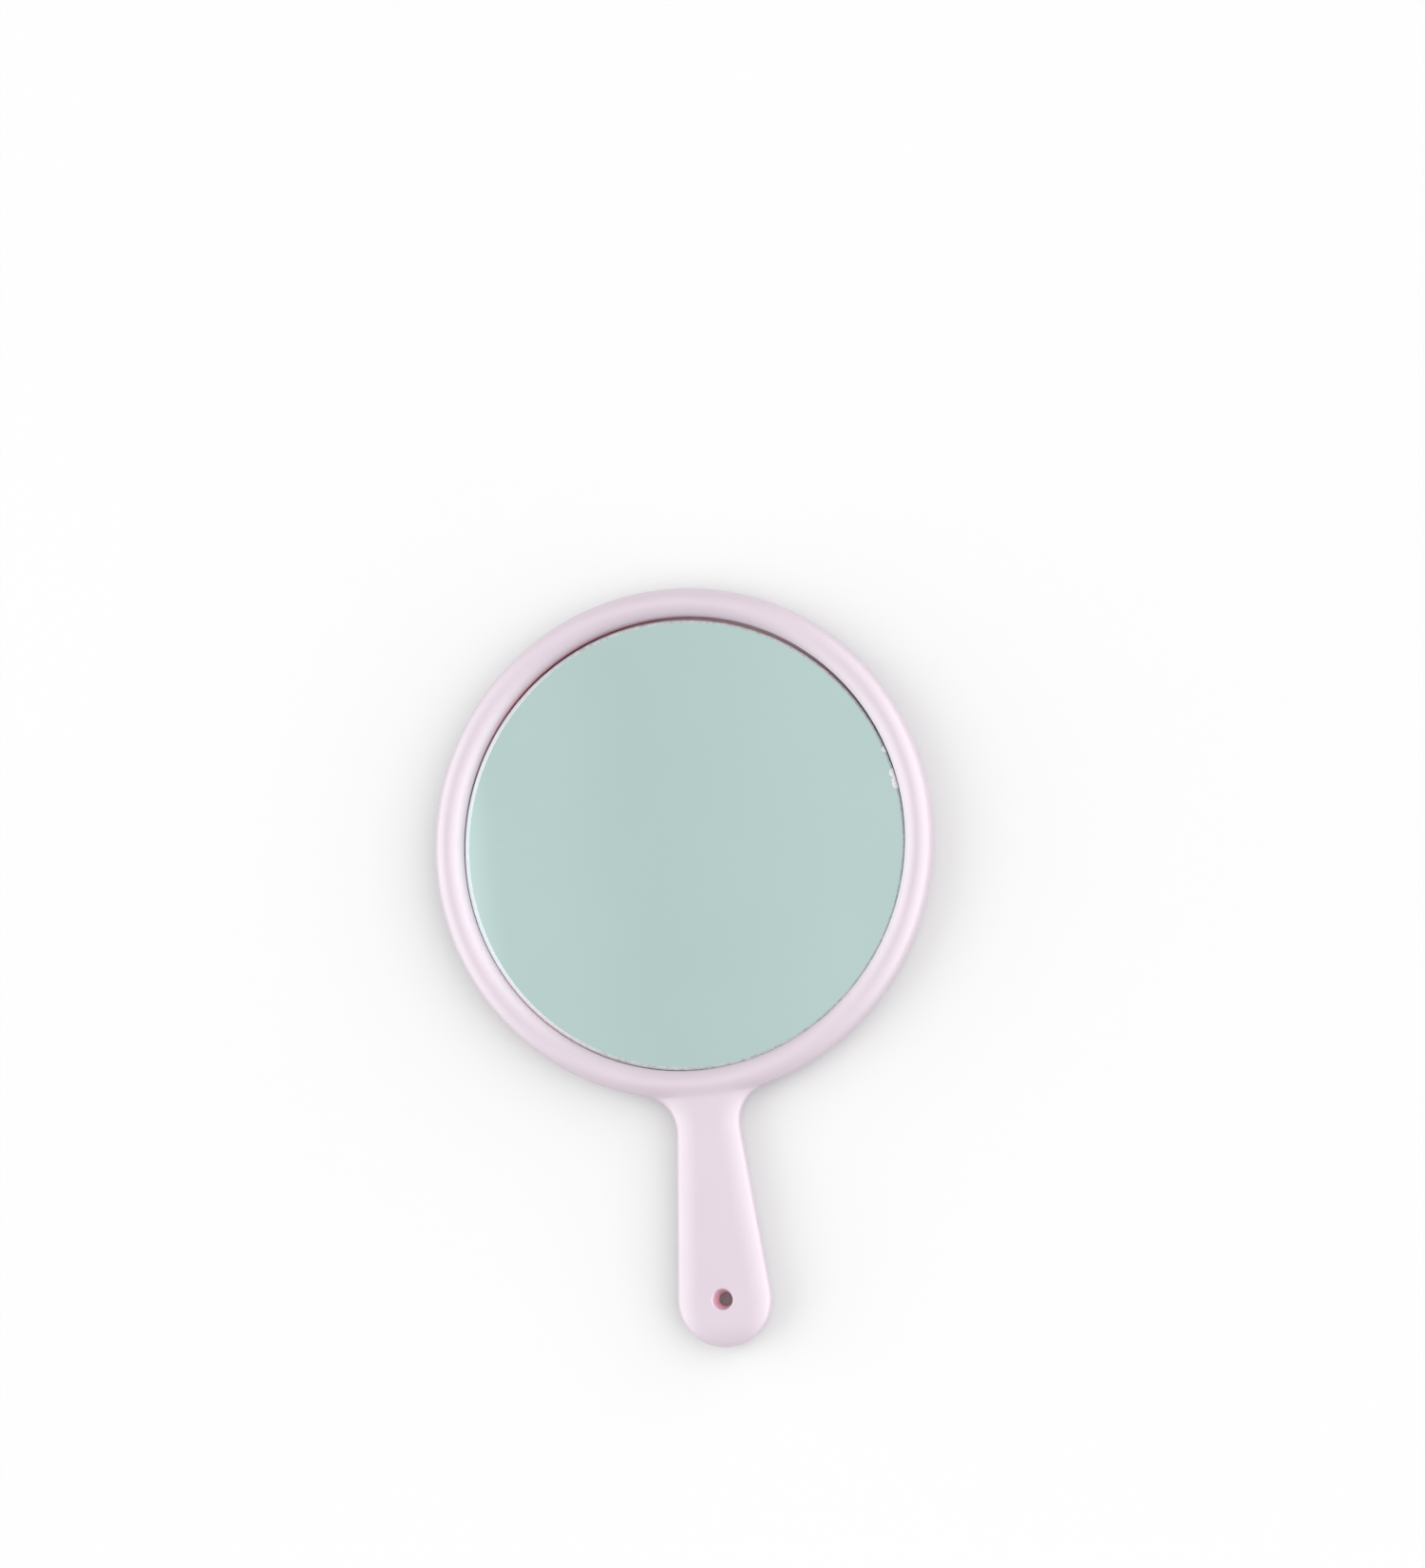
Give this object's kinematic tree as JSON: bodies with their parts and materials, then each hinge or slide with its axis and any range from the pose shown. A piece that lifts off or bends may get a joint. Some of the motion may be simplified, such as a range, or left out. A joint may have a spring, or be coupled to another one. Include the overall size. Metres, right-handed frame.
{
  "type": "hand mirror",
  "caption": "Round hand mirror with a rounded plastic rim, recessed silvered glass and a flared handle with a hanging hole, as used in hair salons and barber shops.",
  "frame": {"origin": "middle of the whole mirror's outline, on the plane of its flat back", "axes": "+Z is the way the glass faces, +Y runs from the handle to the head, +X is to the right with the handle down and the glass facing the viewer"},
  "size_m": [0.16, 0.2374, 0.0118],
  "materials": {
    "shell_plastic": "pale pink, satin",
    "silvered_glass": "clear float glass, silvered and painted behind",
    "foam_tape": "white closed-cell foam"
  },
  "bodies": {
    "root": {"front_shell": "shell_plastic", "rear_shell": "shell_plastic", "mirror_glass": "silvered_glass", "foam_tape_centre": "foam_tape", "foam_tape_1": "foam_tape", "foam_tape_2": "foam_tape", "foam_tape_3": "foam_tape", "foam_tape_4": "foam_tape"}
  },
  "joints": []
}
